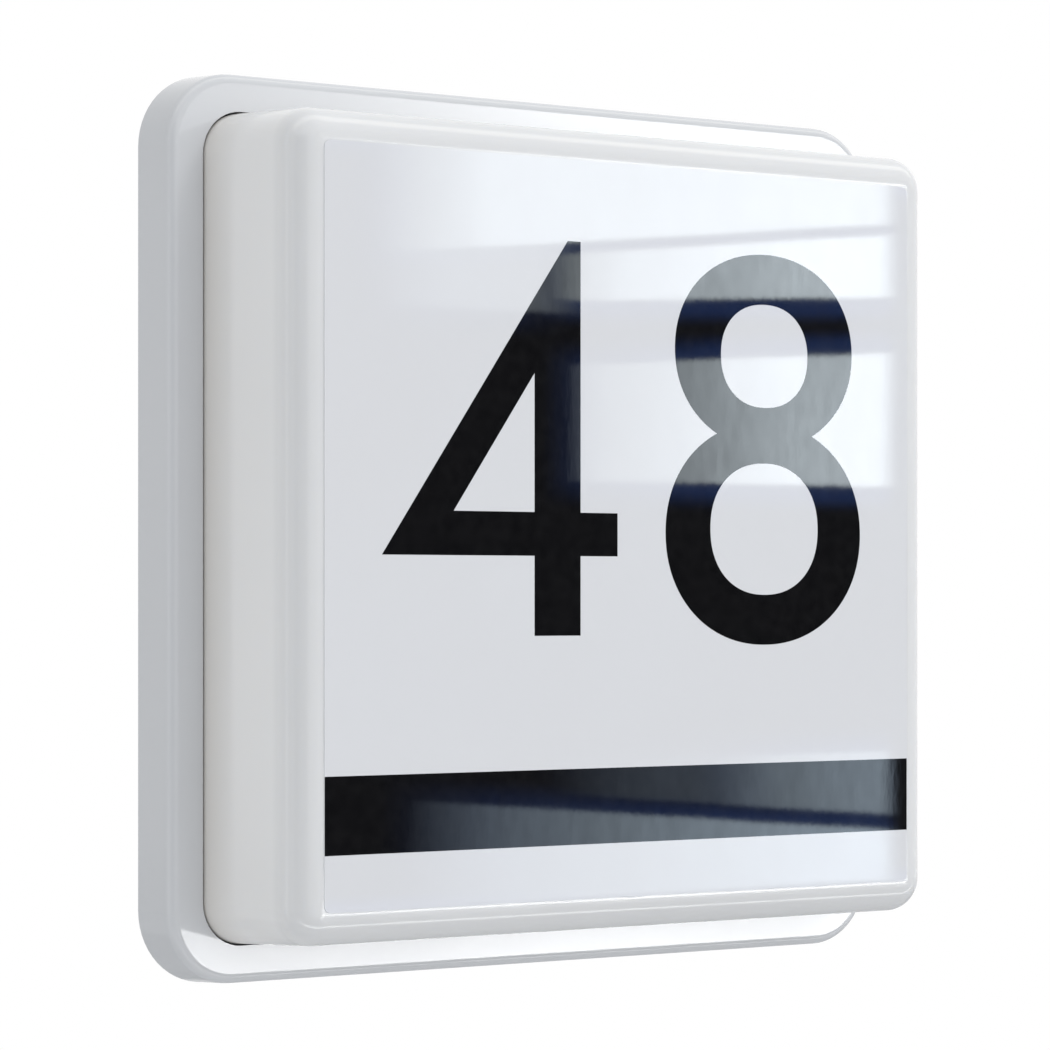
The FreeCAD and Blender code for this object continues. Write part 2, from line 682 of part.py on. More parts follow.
def make_terminal_block():
    """A three-pole block: a body with two screw towers to a pole and a round tunnel for the insert."""
    width = "(poleCount * polePitch)"
    parts = [box(width, "blockHigh", "blockBase")]
    cuts = []
    for x in pole_places():
        for side in ("", "-"):
            y = side + "towerSpacing / 2"
            parts.append(cylinder("towerRadius", "towerRise", x, y, "blockBase"))
            cuts.append(cylinder("headRadius + screwPlay / 2", "blockBase + towerRise", x, y,
                                 "insertDepth + insertRadius - 2 * fitPlay"))
        cuts.append(cylinder("insertRadius + fitPlay", "2 * blockHigh", x, "0", "insertDepth", along="y"))
    stand(less(joined(parts), cuts), "terminal_block", up="blockUp", depth="floorThick")

    inserts = []
    for x in pole_places():
        tube = cylinder("insertRadius", "blockHigh - 2 * fitPlay", x, "0", "insertDepth", along="y")
        bore = cylinder("insertBore", "2 * blockHigh", x, "0", "insertDepth", along="y")
        threads = [cylinder("shankRadius + fitPlay", "2 * insertRadius", x, side + "towerSpacing / 2",
                            "insertDepth") for side in ("", "-")]
        inserts.append(less(tube, [bore] + threads))
    stand(grouped(inserts), "terminal_inserts", up="blockUp", depth="floorThick")


# ---- driver ----

BOARD_TOP = "(driverWall + boardRise + boardThick)"
CAVITY_CORNER = "(driverCorner - driverWall / 2)"


def make_driver_case():
    body = new_body("driver_case")
    outline = new_sketch(body, "CaseOutline")
    draw_rounded(outline, "driverLength", "driverWide", "driverCorner")
    pad(body, outline, "driverDeep")
    cavity = new_sketch(body, "CaseCavity", "driverDeep")
    draw_rounded(cavity, "driverLength - 2 * driverWall", "driverWide - 2 * driverWall", CAVITY_CORNER)
    pocket(body, cavity, "driverDeep - driverWall")
    rests = new_sketch(body, "BoardRests", "driverWall")
    for x, y in four_corners("1"):
        draw_circle(rests, "restRadius", x + " * (driverLength / 2 - restInset)",
                    y + " * (driverWide / 2 - restInset)")
    pad(body, rests, "boardRise")
    ears = new_sketch(body, "CaseEars", "earRise")
    for side in ("", "-"):
        draw_rectangle(ears, "earLength", "earWidth", side + "(driverLength + earLength - driverWall) / 2")
    pad(body, ears, "earThick")
    holes = new_sketch(body, "EarHoles", "earRise + earThick")
    for side in ("", "-"):
        draw_circle(holes, "shankRadius + screwPlay", side + "(driverLength + earLength) / 2", "0")
    pocket(body, holes, "2 * earThick")
    ports = new_sketch(body, "LeadPorts", "driverDeep")
    draw_rectangle(ports, "2 * driverLength", "leadPortWidth", "0", "leadPortUp")
    pocket(body, ports, "leadPortDeep")
    stand(body, "driver_case", up="driverUp", depth="floorThick")


def make_driver_lid():
    body = new_body("driver_lid")
    rim = new_sketch(body, "LidRim")
    inner_length = "driverLength - 2 * driverWall - 2 * fitPlay"
    inner_wide = "driverWide - 2 * driverWall - 2 * fitPlay"
    draw_rounded(rim, inner_length, inner_wide, CAVITY_CORNER)
    draw_rounded(rim, inner_length + " - 2 * driverWall", inner_wide + " - 2 * driverWall",
                 "driverCorner / 3")
    pad(body, rim, "driverLidLip")
    top = new_sketch(body, "LidTop", "driverLidLip")
    draw_rounded(top, "driverLength", "driverWide", "driverCorner")
    pad(body, top, "driverLidThick")
    stand(body, "driver_lid", up="driverUp", depth="floorThick + driverDeep - driverLidLip")


def make_driver_inside():
    body = new_body("driver_board")
    outline = new_sketch(body, "BoardOutline")
    draw_rounded(outline, "driverLength - 2 * driverWall - 2 * boardPlay",
                 "driverWide - 2 * driverWall - 2 * boardPlay", CAVITY_CORNER + " - boardPlay")
    pad(body, outline, "boardThick")
    stand(body, "driver_board", up="driverUp", depth="floorThick + driverWall + boardRise")

    core_x = "(driverLength / 2 - coreInset)"
    core = box("coreLength", "coreWidth", "coreRise", core_x, "partsUp", BOARD_TOP)
    windows = [box("coreLength / 5", "2 * coreWidth", "coreRise / 4", core_x + side + " coreLength / 3",
                   "partsUp", BOARD_TOP + " + coreRise * 3 / 8") for side in (" -", " +")]
    stand(less(core, windows), "driver_transformer", up="driverUp", depth="floorThick")

    cans = []
    for step in (0, 1):
        x = "canInset - driverLength / 2 - %d * canPitch" % step
        cans.append(cylinder("canRadius", "canLength", x, "partsUp", BOARD_TOP + " + canRadius", along="y"))
    stand(grouped(cans), "driver_capacitors", up="driverUp", depth="floorThick")


# ---- LED plate, boards and LEDs ----

def make_led_plate():
    body = new_body("led_plate")
    outline = new_sketch(body, "PlateOutline", "-plateThick")
    draw_square(outline, PLATE_SIDE, "plateCorner")
    pad(body, outline, "plateThick")
    round_edges(body, "plateThick * %g" % EDGE_SHARE, lambda edge: lies_at(edge, 0))
    lip = new_sketch(body, "PlateLip", "-plateThick")
    draw_square(lip, PLATE_SIDE, "plateCorner")
    draw_square(lip, PLATE_SIDE + " - 2 * plateThick", "plateCorner - plateThick")
    pad(body, lip, "plateLip - plateThick", back=True)

    holes = new_sketch(body, "PlateHoles")
    for x, y in four_ways(POST_REACH):
        draw_circle(holes, "shankRadius + screwPlay", x, y)
    for x, y in four_corners("slotSpacing / 2"):
        draw_circle(holes, "toolHole", x, y)
    for side in ("", "-"):
        for y in strip_places():
            draw_circle(holes, "pilotRadius", side + "(%s - stripScrewInset)" % STRIP_END, y)
    draw_circle(holes, "leadHole", HOLE_REACH, "0")
    pocket(body, holes, "2 * plateThick")
    stand(body, "led_plate", depth=PLATE_FRONT)


def strip_places():
    return ["%g * stripPitch" % (step - (STRIP_COUNT - 1) / 2) for step in range(STRIP_COUNT)]


def make_led_boards():
    for number, y in enumerate(strip_places(), start=1):
        name = "led_board_%d" % number
        body = new_body(name)
        sketch = new_sketch(body, "StripOutline%d" % number)
        draw_rectangle(sketch, "2 * " + STRIP_END, "stripWidth")
        for side in ("", "-"):
            draw_circle(sketch, "shankRadius + screwPlay", side + "(%s - stripScrewInset)" % STRIP_END, "0")
        pad(body, sketch, "stripThick")
        stand(body, name, up=y, depth=PLATE_FRONT)

        row = []
        for step in range(LEDS_PER_STRIP):
            share = 2 * step / (LEDS_PER_STRIP - 1) - 1
            row.append(box("ledLong", "ledWide", "ledHigh", "%g * (%s - ledInset)" % (share, STRIP_END)))
        stand(grouped(row), "leds_%d" % number, up=y, depth=STRIP_FRONT)


def make_plate_grommet():
    lip = cylinder("leadHole + sleeveLip", "sleeveLipThick", depth="plateThick")
    neck = cylinder("leadHole - fitPlay", "plateThick")
    tail = cylinder("leadHole + sleeveLip", "sleeveLipThick", depth="-sleeveLipThick")
    hole = cylinder("sleeveBore", "plateThick + 2 * sleeveLipThick", depth="-sleeveLipThick")
    stand(less(joined([lip, neck, tail]), [hole]), "plate_grommet", x=HOLE_REACH, depth="plateDepth")


def make_lead_connector():
    shell = box("plugWidth", "plugHigh", "plugRise")
    socket = box("plugWidth - 2 * plugWall", "2 * plugSocket", "2 * ledLead", "0", "-plugHigh / 2",
                 "plugRise / 2 - ledLead / 2")
    stand(less(shell, [socket]), "lead_connector", x=HOLE_REACH,
          up="stripPitch / 2 - stripWidth / 2 + plugHigh / 2", depth=STRIP_FRONT)


# ---- screws ----

def pan_screw(length):
    """A pan head on a plain shank, with a cross recess. Its seat is at depth 0."""
    head, rise = read("headRadius"), read("headRise")
    shank, crown = read("shankRadius"), read("headCrown")
    dome = (head ** 2 + crown ** 2) / (2 * crown)
    halfway = rise - dome + math.sqrt(dome ** 2 - head ** 2 / 4)
    profile = Part.Wire([
        Part.LineSegment(Vector(0, 0, -length), Vector(shank, 0, -length)).toShape(),
        Part.LineSegment(Vector(shank, 0, -length), Vector(shank, 0, 0)).toShape(),
        Part.LineSegment(Vector(shank, 0, 0), Vector(head, 0, 0)).toShape(),
        Part.LineSegment(Vector(head, 0, 0), Vector(head, 0, rise - crown)).toShape(),
        Part.Arc(Vector(head, 0, rise - crown), Vector(head / 2, 0, halfway),
                 Vector(0, 0, rise)).toShape(),
        Part.LineSegment(Vector(0, 0, rise), Vector(0, 0, -length)).toShape(),
    ])
    screw = Part.Face(profile).revolve(Vector(0, 0, 0), Vector(0, 0, 1), 360)
    width, deep = read("crossWidth"), read("crossDeep")
    for a, b in ((width, head), (head, width)):
        screw = screw.cut(Part.makeBox(a, b, deep, Vector(-a / 2, -b / 2, rise - deep)))
    return screw


def make_screws(name, places, depth, length="shankLength"):
    """Like screws in one group, with their heads seated at a depth."""
    screw = pan_screw(read(length))
    copies = []
    for x, y in places:
        copy = screw.copy()
        copy.translate(Vector(read(x), read(y), read(depth)))
        copies.append(copy)
    stand_shape(name, Part.makeCompound(copies))


def make_all_screws():
    make_screws("plate_screws", four_ways(POST_REACH), PLATE_FRONT)
    ear_x = "(driverLength + earLength) / 2"
    make_screws("driver_screws", [(ear_x, "driverUp"), ("-" + ear_x, "driverUp")],
                "floorThick + earRise + earThick", "earRise")
    make_screws("clamp_screws", [("clampSpan / 2", "clampUp"), ("-clampSpan / 2", "clampUp")],
                "floorThick + clampPostRise + clampThick")
    screw_x = "(%s - stripScrewInset)" % STRIP_END
    holds = [(side + screw_x, y) for side in ("", "-") for y in strip_places()]
    make_screws("board_screws", holds, STRIP_FRONT, "stripThick + 2 * plateThick")
    tops = [(x, "blockUp %s towerSpacing / 2" % sign) for x in pole_places() for sign in ("+", "-")]
    make_screws("terminal_screws", tops, "floorThick + insertDepth + insertRadius + fitPlay",
                "insertRadius + fitPlay + insertBore - mainsLead")


# ---- leads ----

def smooth_path(points):
    """Straight runs joined by tangent arcs. An arc's radius is ARC_SHARE of the shorter run over
    the tangent of half the turn."""
    edges = []
    radii = []
    start = points[0]
    for before, corner, after in zip(points, points[1:], points[2:]):
        into, out = corner - before, after - corner
        turn = into.getAngle(out)
        cut = ARC_SHARE * min(into.Length, out.Length)
        radii.append(cut / math.tan(turn / 2))
        first = corner - into.normalize() * cut
        last = corner + out.normalize() * cut
        middle = (first + last) * 0.5
        centre_way = (middle - corner).normalize()
        centre = corner + centre_way * (radii[-1] / math.cos(turn / 2))
        edges.append(Part.LineSegment(start, first).toShape())
        edges.append(Part.Arc(first, centre - centre_way * radii[-1], last).toShape())
        start = last
    edges.append(Part.LineSegment(start, points[-1]).toShape())
    return Part.Wire(edges), radii


def lead(name, diameter, points):
    """A round lead along the points' smooth path."""
    path, radii = smooth_path([Vector(*point) for point in points])
    way = points[1][0] - points[0][0], points[1][1] - points[0][1], points[1][2] - points[0][2]
    ring = Part.Wire([Part.Circle(Vector(*points[0]), Vector(*way), diameter / 2).toShape()])
    tube = path.makePipeShell([ring], True, False)
    solid = Part.Solid(tube) if tube.ShapeType == "Shell" else tube
    wanted = math.pi * diameter ** 2 / 4 * path.Length
    print("%s: length %.1f, least radius %.1f, volume %.4f of section times length"
          % (name, path.Length, min(radii) if radii else 0, solid.Volume / wanted))
    return solid


def port_places():
    """The two leads' heights in a driver port, and the depth at which they pass it."""
    middle = "driverUp + leadPortUp"
    depth = "floorThick + driverDeep - (leadPortDeep + driverLidLip) / 2"
    return read(middle + " + portLeads / 2"), read(middle + " - portLeads / 2"), read(depth)


def make_mains_leads():
    """From the terminal block's lower end over the floor to the driver's left port. A lead lies at
    the bottom of its brass insert, under the terminal screw."""
    start = read("blockUp - blockHigh / 2 + 3 * mainsLead")
    lies = read("floorThick + insertDepth - insertBore + mainsLead / 2")
    floor = read("floorThick + fitPlay + mainsLead / 2")
    upper, lower, port = port_places()
    wall = read("-driverLength / 2")
    board = read("floorThick + %s + mainsLead / 2" % BOARD_TOP)
    pitch = read("polePitch")
    routes = {
        "wire_live": [
            (-pitch, start, lies), (-pitch, start - 14, lies), (-22, -81, floor), (-48, -78, floor),
            (-70, -50, floor), (-80, -14, floor), (-79, 16, 7.5), (wall - 9, lower - 0.8, port - 0.8),
            (wall + 3, lower, port - 0.8), (wall + 14, lower, board)],
        "wire_neutral": [
            (0, start, lies), (0, start - 15, lies), (-10, -85, floor), (-36, -90, floor),
            (-62, -71, floor), (-79, -36, floor), (-86, -2, 4.2), (-82, 24, 9.5),
            (wall - 9, upper - 0.3, port - 0.3), (wall + 4, upper, port - 0.8),
            (wall + 15, upper, board)],
    }
    for name, points in routes.items():
        stand_shape(name, lead(name, read("mainsLead"), points))


def make_led_leads():
    """From the driver's right port behind the plate, through its grommet and up to the connector."""
    upper, lower, port = port_places()
    wall = read("driverLength / 2")
    board = read("floorThick + %s + ledLead / 2" % BOARD_TOP)
    right, left = (read(HOLE_REACH + " %s ledLeadGap / 2" % sign) for sign in ("+", "-"))
    front = read(PLATE_FRONT)
    plug_up = read("stripPitch / 2 - stripWidth / 2 + plugSocket / 2")
    plug_depth = read(STRIP_FRONT + " + plugRise / 2 + ledLead / 2")
    routes = {
        "wire_led_plus": [
            (wall - 14, upper, board), (wall - 4, upper + 0.1, port - 1.4),
            (wall + 8, upper - 1.5, port + 0.6), (79, 24, 12), (81, 8, 10), (75.5, 0.5, 13.5),
            (right, 0.6, front + 3), (right, plug_up - 6, plug_depth + 0.8), (right, plug_up, plug_depth)],
        "wire_led_minus": [
            (wall - 14, lower, board), (wall - 4, lower + 0.1, port - 1.4),
            (wall + 7, lower - 2, port + 0.5), (75.5, 19, 12), (77, 6, 10.5), (73.5, -0.5, 13.5),
            (left, 0.2, front + 3), (left, plug_up - 6, plug_depth + 0.8), (left, plug_up, plug_depth)],
    }
    for name, points in routes.items():
        stand_shape(name, lead(name, read("ledLead"), points))


def make_board_links():
    """Two short links over each gap between two boards, bowed a little off the plate."""
    diameter = read("ledLead")
    gap = read("stripPitch - stripWidth")
    rest = read(STRIP_FRONT) + diameter / 2
    lift = read("linkLift")
    over = gap / 2 + 2 * diameter
    links = []
    for step in range(STRIP_COUNT - 1):
        middle = read("%g * stripPitch" % (step + 0.5 - (STRIP_COUNT - 1) / 2))
        for side in (0, 1):
            x = -read(STRIP_END + " - linkInset + %d * linkPitch" % side)
            points = [(x, middle - over, rest), (x, middle, rest + lift), (x, middle + over, rest)]
            links.append(lead("board_link", diameter, points))
    stand_shape("board_links", Part.makeCompound(links))


# ---- build, test and write ----

def check_document():
    for thing in doc.Objects:
        if "Invalid" in thing.State or "Error" in thing.State:
            raise ValueError("%s is %s" % (thing.Name, thing.State))
        if thing.TypeId == "Sketcher::SketchObject" and not thing.FullyConstrained:
            raise ValueError("%s is not fully constrained" % thing.Name)
    for node in NODES:
        if node.Shape.isNull() or not node.Shape.isValid() or not node.Shape.Solids:
            raise ValueError("%s has no valid solid" % node.Label)


def write_parts():
    os.makedirs("parts", exist_ok=True)
    for node in NODES:
        node.Shape.exportStep("parts/%s.step" % node.Label)
        print("%s: %d solids, %.1f mm3" % (node.Label, len(node.Shape.Solids), node.Shape.Volume))


make_base_tray()
make_base_seal()
make_cover_clips()
make_diffuser_cover()
make_face_film()
make_cable_grommet()
make_cable_clamp()
make_terminal_block()
make_driver_case()
make_driver_inside()
make_driver_lid()
make_led_plate()
make_led_boards()
make_plate_grommet()
make_lead_connector()
make_all_screws()
make_mains_leads()
make_led_leads()
make_board_links()
doc.recompute()
check_document()
write_parts()
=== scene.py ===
import math

import bpy
import numpy as np
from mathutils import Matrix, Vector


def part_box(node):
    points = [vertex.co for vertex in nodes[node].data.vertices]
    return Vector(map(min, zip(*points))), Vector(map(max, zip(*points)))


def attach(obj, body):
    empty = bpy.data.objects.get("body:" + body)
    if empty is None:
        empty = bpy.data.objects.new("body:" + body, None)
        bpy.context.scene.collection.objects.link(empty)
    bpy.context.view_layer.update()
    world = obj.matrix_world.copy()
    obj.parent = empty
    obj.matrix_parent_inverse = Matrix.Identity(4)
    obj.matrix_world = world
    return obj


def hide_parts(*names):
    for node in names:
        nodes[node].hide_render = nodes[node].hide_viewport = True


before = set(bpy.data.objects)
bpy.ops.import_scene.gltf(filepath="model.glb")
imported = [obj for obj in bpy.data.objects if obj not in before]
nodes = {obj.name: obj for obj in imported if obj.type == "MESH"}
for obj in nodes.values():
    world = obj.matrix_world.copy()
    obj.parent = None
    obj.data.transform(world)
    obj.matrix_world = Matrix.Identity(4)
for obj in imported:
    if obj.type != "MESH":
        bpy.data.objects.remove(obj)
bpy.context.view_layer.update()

scene = bpy.context.scene
mm = 0.001


def linked(name, data):
    made = bpy.data.objects.new(name, data)
    scene.collection.objects.link(made)
    return made


# A smooth mesh object from points and faces, at the origin.
def meshPiece(name, points, faces, material):
    mesh = bpy.data.meshes.new(name)
    mesh.from_pydata(np.asarray(points, float).tolist(), [], np.asarray(faces, int).tolist())
    mesh.validate()
    mesh.polygons.foreach_set("use_smooth", np.ones(len(mesh.polygons), bool))
    mesh.materials.append(material)
    return linked(name, mesh)


# The four-cornered faces of a grid of rows by columns.
def gridFaces(rows, columns):
    r, c = np.meshgrid(np.arange(rows - 1), np.arange(columns - 1), indexing="ij")
    corner = (r * columns + c).ravel()
    return np.stack([corner, corner + 1, corner + columns + 1, corner + columns], 1)


def newMaterial(name, base, roughness, metallic=0.0):
    material = bpy.data.materials.new(name)
    material.use_nodes = True
    shader = material.node_tree.nodes["Principled BSDF"]
    shader.inputs["Base Color"].default_value = (*base, 1)
    shader.inputs["Roughness"].default_value = roughness
    shader.inputs["Metallic"].default_value = metallic
    return material, material.node_tree, shader


# A node with its settings, and its inputs by name, or by number as i0, i1 and so on.
def addNode(tree, kind, settings=None, **inputs):
    node = tree.nodes.new(kind)
    for key, value in (settings or {}).items():
        setattr(node, key, value)
    for key, value in inputs.items():
        numbered = key[0] == "i" and key[1:].isdigit()
        socket = node.inputs[int(key[1:]) if numbered else key.replace("_", " ")]
        if isinstance(value, bpy.types.NodeSocket):
            tree.links.new(value, socket)
        else:
            socket.default_value = value
    return node


# Object coordinates, multiplied by a scale along each axis.
def stretched(tree, scale=(1, 1, 1)):
    place = addNode(tree, "ShaderNodeTexCoord")
    return addNode(tree, "ShaderNodeMapping", Vector=place.outputs["Object"], Scale=scale).outputs[0]


def noise(tree, vector, scale, detail=3.0):
    return addNode(tree, "ShaderNodeTexNoise", Vector=vector, Scale=scale, Detail=detail).outputs["Fac"]


# A ramp between two or more (place, colour) stops, where one number is a grey.
def ramp(tree, value, stops):
    node = addNode(tree, "ShaderNodeValToRGB", Fac=value)
    band = node.color_ramp
    while len(band.elements) < len(stops):
        band.elements.new(0.5)
    for element, (place, colour) in zip(band.elements, stops):
        element.position = place
        element.color = (*colour, 1) if len(colour) == 3 else (colour[0],) * 3 + (1,)
    return node.outputs["Color"]


def spread(tree, value, low, high):
    return addNode(tree, "ShaderNodeMapRange", Value=value, To_Min=low, To_Max=high).outputs["Result"]


def bump(tree, shader, height, distance, normal=None):
    inputs = {"Height": height, "Distance": distance}
    if normal is not None:
        inputs["Normal"] = normal
    node = addNode(tree, "ShaderNodeBump", Strength=1.0, **inputs)
    tree.links.new(node.outputs[0], shader.inputs["Normal"])
    return node.outputs[0]


# A moulded or coated surface: two tones in soft clouds, roughness that varies, and a fine skin.
def mouldedMaterial(name, tones, rough, cloud=20.0, grain=900.0, depth=0.00002, metallic=0.0):
    material, tree, shader = newMaterial(name, tones[0], rough[0], metallic)
    place = stretched(tree)
    colour = ramp(tree, noise(tree, place, cloud), [(0.35, tones[0]), (0.65, tones[1])])
    tree.links.new(colour, shader.inputs["Base Color"])
    tree.links.new(spread(tree, noise(tree, place, cloud * 4), *rough), shader.inputs["Roughness"])
    bump(tree, shader, noise(tree, place, grain, 2.0), depth)
    return material


def shaderOf(material):
    return material.node_tree.nodes["Principled BSDF"]


trayPlastic = mouldedMaterial(
    "tray_plastic", ((0.675, 0.687, 0.71), (0.665, 0.677, 0.698)), (0.10, 0.13), 8, 1100, 0.000004)

# The cover's colour changes outward from the flange (0) to the front (1), and lies under faint clouds.
# The change is painted shade: darker and warmer next to the flange, where the gap's shade is painted, pale
# along the side, and darker again toward the front, where shade on the rounded front edge is painted.
opal = {
    "flange": -0.0165, "front": -0.0607,
    "tones": [(0.0, (0.78, 0.755, 0.72)), (0.35, (0.90, 0.895, 0.89)),
              (0.74, (0.91, 0.91, 0.91)), (0.90, (0.78, 0.785, 0.795))],
    "clouds": [(0.3, (0.97,)), (0.7, (1.0,))],
    "rough": (0.09, 0.14), "glow": 0.12, "glowTint": (1.0, 0.9, 0.75), "glowDepth": 0.003,
}
opalPlastic, tree, shader = newMaterial("opal_plastic", (0.8, 0.8, 0.8), 0.2)
place = stretched(tree)
depthOut = addNode(tree, "ShaderNodeSeparateXYZ", Vector=place).outputs["Y"]
outward = addNode(tree, "ShaderNodeMapRange", Value=depthOut, From_Min=opal["flange"],
                  From_Max=opal["front"]).outputs[0]
# Painted shade: this ramp darkens the cover next to the flange and toward its rounded front edge.
toneAndPaintedShade = ramp(tree, outward, opal["tones"])
clouds = ramp(tree, noise(tree, place, 9.0), opal["clouds"])
tinted = addNode(tree, "ShaderNodeMix", {"data_type": "RGBA", "blend_type": "MULTIPLY"}, i0=1.0, i6=toneAndPaintedShade,
                 i7=clouds).outputs[2]
tree.links.new(tinted, shader.inputs["Base Color"])
tree.links.new(spread(tree, noise(tree, place, 40.0), *opal["rough"]), shader.inputs["Roughness"])
shader.inputs["Subsurface Weight"].default_value = opal["glow"]
shader.inputs["Subsurface Radius"].default_value = opal["glowTint"]
shader.inputs["Subsurface Scale"].default_value = opal["glowDepth"]
bump(tree, shader, noise(tree, place, 60.0, 2.0), 0.00003)

# The film's skin: slow waves, and a fine grain that is longer upright than across.
skin = {"waves": (16, 1, 9), "waveHeight": 0.00003, "grain": (620, 1, 210), "grainHeight": 0.0000012,
        "rough": (0.01, 0.03)}


# Glossy film or print: two near tones in clouds, a sharp gloss and the film's skin.
def filmMaterial(name, tones, cloud):
    material, tree, shader = newMaterial(name, tones[0], skin["rough"][1])
    place = stretched(tree)
    tint = ramp(tree, noise(tree, place, cloud), [(0.3, tones[0]), (0.7, tones[1])])
    tree.links.new(tint, shader.inputs["Base Color"])
    tree.links.new(spread(tree, noise(tree, place, 50.0), *skin["rough"]), shader.inputs["Roughness"])
    waves = noise(tree, stretched(tree, skin["waves"]), 1.0, 1.0)
    grain = noise(tree, stretched(tree, skin["grain"]), 1.0, 2.0)
    under = bump(tree, shader, waves, skin["waveHeight"])
    bump(tree, shader, grain, skin["grainHeight"], under)
    return material


filmWhite = filmMaterial("printed_film", ((0.79, 0.795, 0.82), (0.80, 0.81, 0.84)), 7.0)
blackPrint = filmMaterial("black_print", ((0.005, 0.005, 0.006), (0.009, 0.009, 0.010)), 300.0)
shaderOf(blackPrint).inputs["Specular IOR Level"].default_value = 0.72


# Metal with fine lines along one axis.
def brushedMaterial(name, tones, rough, lines):
    material, tree, shader = newMaterial(name, tones[0], rough[0], 1.0)
    drawn = noise(tree, stretched(tree, lines), 1.0)
    tree.links.new(ramp(tree, drawn, [(0.3, tones[0]), (0.7, tones[1])]), shader.inputs["Base Color"])
    tree.links.new(spread(tree, drawn, *rough), shader.inputs["Roughness"])
    bump(tree, shader, drawn, 0.00001)
    return material


springSteel = brushedMaterial("spring_steel", ((0.56, 0.56, 0.57), (0.66, 0.66, 0.66)), (0.22, 0.36),
                              (900, 900, 90))
screwSteel = brushedMaterial("screw_steel", ((0.55, 0.56, 0.59), (0.68, 0.68, 0.70)), (0.24, 0.42),
                             (500, 500, 500))
brassMetal = brushedMaterial("brass", ((0.74, 0.56, 0.26), (0.83, 0.66, 0.36)), (0.2, 0.34),
                             (700, 60, 700))

darkRubber = mouldedMaterial(
    "dark_rubber", ((0.028, 0.028, 0.03), (0.045, 0.045, 0.046)), (0.55, 0.75), 60, 1600, 0.00003)
milkyPlastic = mouldedMaterial(
    "milky_plastic", ((0.70, 0.73, 0.75), (0.76, 0.78, 0.79)), (0.25, 0.4), 90, 1500, 0.00001)
shaderOf(milkyPlastic).inputs["Subsurface Weight"].default_value = 0.3
shaderOf(milkyPlastic).inputs["Subsurface Scale"].default_value = 0.002
shaderOf(milkyPlastic).inputs["Transmission Weight"].default_value = 0.12
caseWhite = mouldedMaterial(
    "case_white", ((0.74, 0.75, 0.77), (0.70, 0.71, 0.735)), (0.42, 0.55), 40, 700, 0.00003)
coatWhite = mouldedMaterial(
    "powder_coat", ((0.80, 0.80, 0.80), (0.77, 0.77, 0.775)), (0.4, 0.52), 30, 500, 0.00006)
boardWhite = mouldedMaterial(
    "board_white", ((0.82, 0.82, 0.80), (0.79, 0.79, 0.775)), (0.22, 0.32), 70, 900, 0.00001)
boardGreen = mouldedMaterial(
    "board_green", ((0.012, 0.16, 0.06), (0.02, 0.21, 0.09)), (0.22, 0.34), 120, 900, 0.00001)
darkPlastic = mouldedMaterial(
    "dark_plastic", ((0.035, 0.036, 0.04), (0.05, 0.05, 0.055)), (0.35, 0.5), 80, 1200, 0.00002)
phosphor = mouldedMaterial(
    "led_yellow", ((0.80, 0.62, 0.12), (0.86, 0.70, 0.20)), (0.12, 0.2), 400, 2500, 0.00001)
shaderOf(phosphor).inputs["Coat Weight"].default_value = 0.6
solder = mouldedMaterial(
    "solder", ((0.60, 0.60, 0.61), (0.50, 0.50, 0.52)), (0.22, 0.34), 600, 2500, 0.000004, 1.0)


def leadMaterial(name, colour):
    darker = tuple(c * 0.82 for c in colour)
    return mouldedMaterial(name, (colour, darker), (0.32, 0.45), 150, 1800, 0.00001)


whiteLead = leadMaterial("white_lead", (0.78, 0.78, 0.77))
brownLead = leadMaterial("brown_lead", (0.14, 0.06, 0.03))
blueLead = leadMaterial("blue_lead", (0.03, 0.12, 0.46))
redLead = leadMaterial("red_lead", (0.50, 0.02, 0.02))
blackLead = leadMaterial("black_lead", (0.02, 0.02, 0.022))

finishes = {
    "base_tray": trayPlastic, "base_seal": darkRubber, "cable_grommet": darkRubber,
    "plate_grommet": darkRubber, "cover_clips": springSteel, "diffuser_cover": opalPlastic,
    "face_film": filmWhite, "cable_clamp": milkyPlastic, "terminal_block": milkyPlastic,
    "terminal_inserts": brassMetal, "driver_case": caseWhite, "driver_lid": caseWhite,
    "driver_board": boardGreen, "driver_transformer": darkPlastic, "driver_capacitors": darkPlastic,
    "led_plate": coatWhite, "lead_connector": caseWhite, "board_links": whiteLead,
    "wire_live": brownLead, "wire_neutral": blueLead, "wire_led_plus": redLead,
    "wire_led_minus": blackLead,
}
for name, node in nodes.items():
    if name.startswith("led_board"):
        finish = boardWhite
    elif name.startswith("leds_"):
        finish = caseWhite
    elif name.endswith("_screws"):
        finish = screwSteel
    else:
        finish = finishes[name]
    if not node.data.materials:
        node.data.materials.append(finish)
    for index in range(len(node.data.materials)):
        node.data.materials[index] = finish
print("materials on", len(nodes), "nodes")

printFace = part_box("face_film")[0].y
inkThick = 0.03 * mm


# A flat print: filled outlines in the film's plane, half in it and half proud by the ink's thickness.
def printPiece(name, outlines):
    curve = bpy.data.curves.new(name, "CURVE")
    curve.dimensions = "2D"
    curve.fill_mode = "BOTH"
    curve.extrude = inkThick
    for outline in outlines:
        spline = curve.splines.new("POLY")
        spline.points.add(len(outline) - 1)
        flat = np.zeros((len(outline), 4))
        flat[:, :2] = outline
        flat[:, 3] = 1
        spline.points.foreach_set("co", flat.ravel())
        spline.use_cyclic_u = True
    drawn = linked(name, curve)
    bpy.context.view_layer.update()
    mesh = bpy.data.meshes.new_from_object(drawn.evaluated_get(bpy.context.evaluated_depsgraph_get()))
    bpy.data.objects.remove(drawn)
    bpy.data.curves.remove(curve)
    points = np.zeros(len(mesh.vertices) * 3)
    mesh.vertices.foreach_get("co", points)
    x, y, z = points.reshape(-1, 3).T
    mesh.vertices.foreach_set("co", np.stack([x, printFace - z, y], 1).ravel())
    mesh.name = name
    mesh.materials.clear()
    mesh.materials.append(blackPrint)
    piece = linked(name, mesh)
    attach(piece, "cover")


